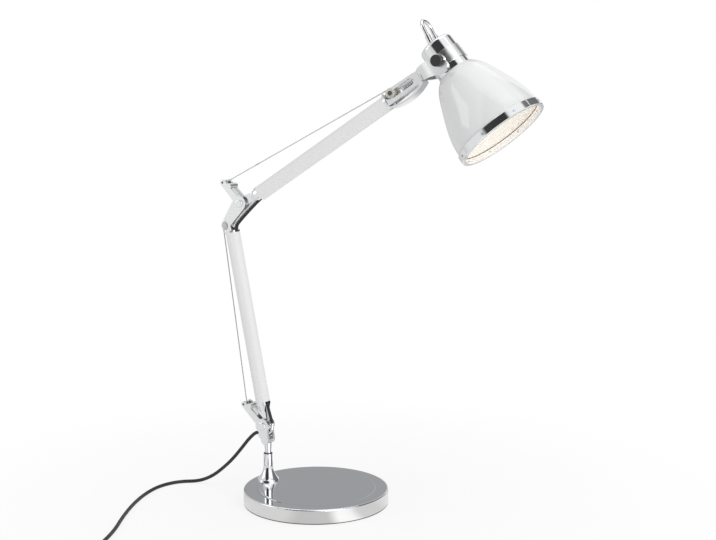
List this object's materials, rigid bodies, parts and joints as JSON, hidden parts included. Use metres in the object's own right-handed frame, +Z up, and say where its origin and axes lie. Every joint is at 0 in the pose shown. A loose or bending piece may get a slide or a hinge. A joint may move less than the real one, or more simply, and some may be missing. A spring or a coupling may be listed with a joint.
{
  "type": "desk lamp",
  "caption": "Desk lamp with a round weighted base, two arms balanced by wires over pulleys, and a bell shade that tilts in a yoke.",
  "frame": {"origin": "centre of the base's underside, on the table", "axes": "+Z up; +X towards the head, in the plane of the arms; +Y completes the frame, away from the picture's side"},
  "size_m": [0.4935, 0.4648, 0.5893],
  "materials": {
    "brushed_cover": "brushed side, polished top",
    "iron": "as cast",
    "pad": "matt felt-like pad",
    "chrome": "polished",
    "steel": "plain",
    "bush": "plain",
    "satin": "satin",
    "white_paint": "gloss",
    "black_rubber": "satin",
    "black_plastic": "matt",
    "ivory": "satin",
    "bulb_brass": "plain",
    "bulb_glass": "frosted"
  },
  "bodies": {
    "base": {"base_cover": "brushed_cover", "base_weight": "iron", "foot_pad": "pad", "collar": "chrome", "collar_nut": "steel", "swivel_bush": "bush", "mains_cord": "black_rubber", "cord_coil": "black_rubber", "plug_body": "black_rubber", "plug_pins": "steel"},
    "stem": {"stem_fork": "satin", "shoulder_bolt": "satin", "shoulder_anchor_pin": "steel", "shoulder_bumper": "satin", "cord_grommet": "black_rubber", "shoulder_cable": "black_rubber"},
    "lower_arm": {"lower_knuckle": "chrome", "lower_tube": "white_paint", "elbow_bracket": "satin", "elbow_bolt": "satin", "elbow_anchor_pin": "steel", "elbow_bumper": "satin", "elbow_cable": "black_rubber", "lower_pulley_axle": "steel", "lower_spring": "steel", "lower_wire": "steel"},
    "lower_wheel": {"lower_pulley": "ivory"},
    "upper_arm": {"upper_knuckle": "chrome", "upper_tube": "white_paint", "head_bracket": "satin", "bracket_channel": "chrome", "upper_pulley_axle": "steel", "upper_spring": "steel", "upper_wire": "steel"},
    "upper_wheel": {"upper_pulley": "ivory"},
    "head": {"head_ring": "satin", "lampholder_shell": "chrome", "tilt_pin": "steel", "shade": "white_paint", "rim_ring": "chrome", "rim_screws": "steel", "socket": "black_plastic", "bulb_cap": "bulb_brass", "bulb_glass": "bulb_glass", "handle_loop": "chrome", "handle_sleeves": "satin", "switch_body": "black_plastic"},
    "knob": {"tilt_knob": "black_plastic"},
    "button": {"switch_button": "black_plastic"}
  },
  "joints": [
    {"name": "stem_swivel", "type": "hinge", "parent": "base", "child": "stem", "pos_m": [-0.07, 0, 0.04], "axis": [0, 0, 1], "range_deg": [-120, 120], "deforming": ["mains_cord"]},
    {"name": "shoulder", "type": "hinge", "parent": "stem", "child": "lower_arm", "pos_m": [-0.074, 0, 0.089], "axis": [0, 1, 0], "range_deg": [-8, 50], "deforming": ["shoulder_cable", "lower_wire"]},
    {"name": "elbow", "type": "hinge", "parent": "lower_arm", "child": "upper_arm", "pos_m": [-0.10406, 0, 0.3695], "axis": [0, -1, 0], "range_deg": [-60, 50], "deforming": ["elbow_cable", "upper_wire", "upper_spring"]},
    {"name": "head_tilt", "type": "hinge", "parent": "upper_arm", "child": "head", "pos_m": [0.17422, 0, 0.54184], "axis": [0, -1, 0], "range_deg": [-25, 45]},
    {"name": "knob_turn", "type": "hinge", "parent": "head", "child": "knob", "pos_m": [0.17422, 0, 0.54184], "axis": [0, -1, 0], "range_deg": [0, 180]},
    {"name": "switch_press", "type": "slide", "parent": "head", "child": "button", "axis": [0.6428, 0, -0.766], "range_m": [0, 0.002], "stiffness_N_per_m": 400, "springref_m": -0.001},
    {"name": "lower_pulley_turn", "type": "hinge", "parent": "lower_arm", "child": "lower_wheel", "pos_m": [-0.12804, 0, 0.34029], "axis": [0, -1, 0], "range_deg": [-61, 302]},
    {"name": "upper_pulley_turn", "type": "hinge", "parent": "upper_arm", "child": "upper_wheel", "pos_m": [0.10267, 0, 0.50567], "axis": [0, -1, 0], "range_deg": [-277, 329]}
  ],
  "couplings": [
    {"joint": "lower_pulley_turn", "follows": "shoulder", "ratio": 5.735},
    {"joint": "upper_pulley_turn", "follows": "elbow", "ratio": -5.233}
  ]
}
